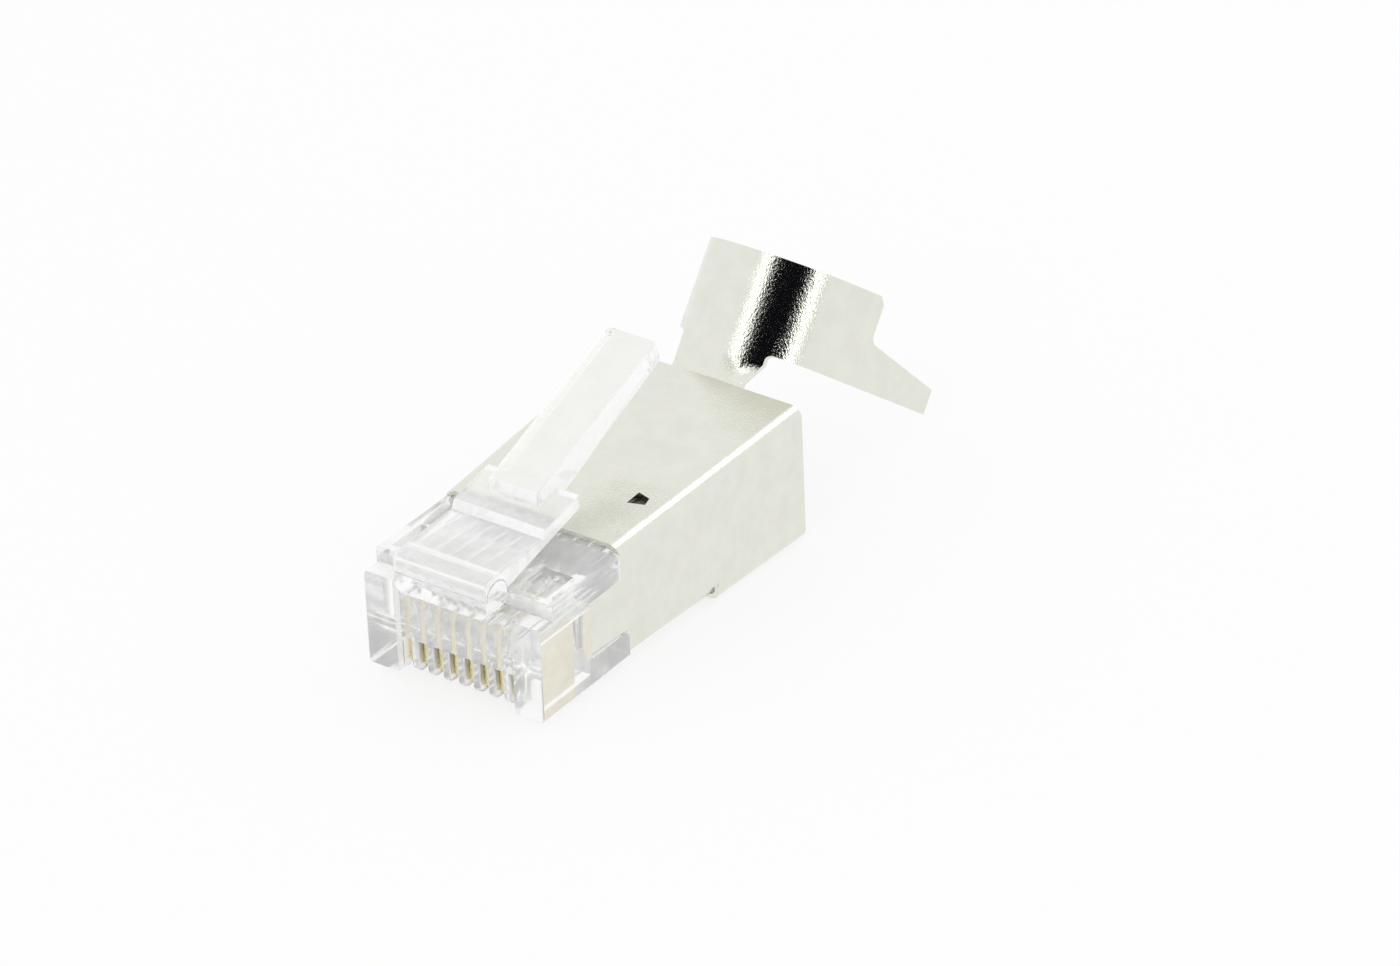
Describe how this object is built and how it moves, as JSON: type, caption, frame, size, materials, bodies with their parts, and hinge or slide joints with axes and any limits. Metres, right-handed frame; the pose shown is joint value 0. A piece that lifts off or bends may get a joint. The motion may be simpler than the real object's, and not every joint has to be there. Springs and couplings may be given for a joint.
{
  "type": "shielded rj45 modular plug",
  "caption": "Shielded modular plug for thick network cable: clear moulded nose with gilt blade contacts, sprung latch with finger lever, and a folded metal shell with a cable clamp strap.",
  "frame": {"origin": "on the plug's centre plane, at the front plane of the nose's side blocks and the underside of the nose", "axes": "+X across the plug, +Y from the nose towards the cable, +Z towards the latch side"},
  "size_m": [0.0128, 0.038, 0.0143],
  "materials": {
    "clear_plastic": "clear moulded polycarbonate",
    "plated_sheet": "satin nickel plating on thin sheet",
    "contact_metal": "gold plating"
  },
  "bodies": {
    "plug": {"plug_body": "clear_plastic", "shield_shell": "plated_sheet", "contact_1": "contact_metal", "contact_2": "contact_metal", "contact_3": "contact_metal", "contact_4": "contact_metal", "contact_5": "contact_metal", "contact_6": "contact_metal", "contact_7": "contact_metal", "contact_8": "contact_metal"},
    "latch_arm": {"latch": "clear_plastic"}
  },
  "joints": [
    {"name": "latch_press", "type": "hinge", "parent": "plug", "child": "latch_arm", "pos_m": [0, 0.0001, 0.007], "axis": [1, 0, 0], "range_deg": [-9, 0], "stiffness_Nm_per_rad": 0.02}
  ]
}
